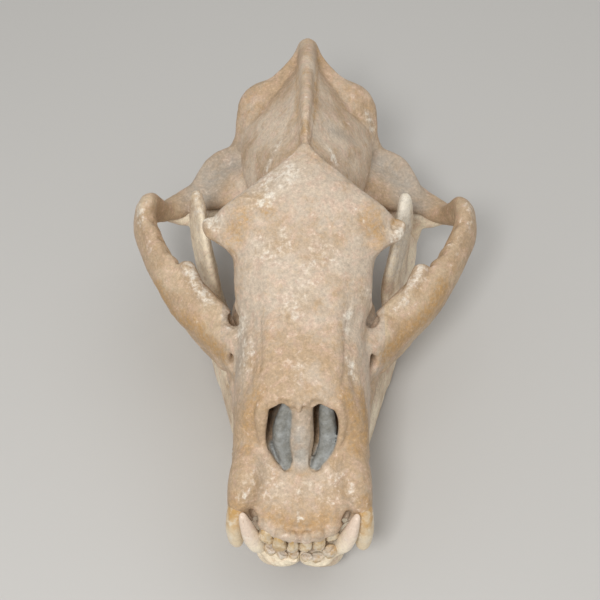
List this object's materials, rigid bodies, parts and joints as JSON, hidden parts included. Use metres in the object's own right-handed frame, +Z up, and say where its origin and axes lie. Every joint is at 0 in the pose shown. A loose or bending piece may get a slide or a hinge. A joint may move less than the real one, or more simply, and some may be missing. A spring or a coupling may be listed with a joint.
{
  "type": "bear skull",
  "caption": "Life-size brown bear skull with its lower jaw closed, resting on the jaw; a still museum-style part of bone and worn teeth.",
  "frame": {"origin": "on the floor under the middle of the skull's length and width", "axes": "+Z up, the snout points to -Y, the animal's left side is +X"},
  "size_m": [0.2722, 0.4132, 0.211],
  "materials": {
    "face_bone": "dry bone, pale tan",
    "crown_bone": "dry bone, darker tan",
    "arch_bone": "dry bone, cream",
    "jaw_bone": "dry bone, cream with worn teeth"
  },
  "bodies": {
    "root": {"snout": "face_bone", "forehead": "face_bone", "braincase": "crown_bone", "occiput": "crown_bone", "zygomatic_arch_left": "arch_bone", "zygomatic_arch_right": "arch_bone", "mandible_left": "jaw_bone", "mandible_right": "jaw_bone"}
  },
  "joints": []
}
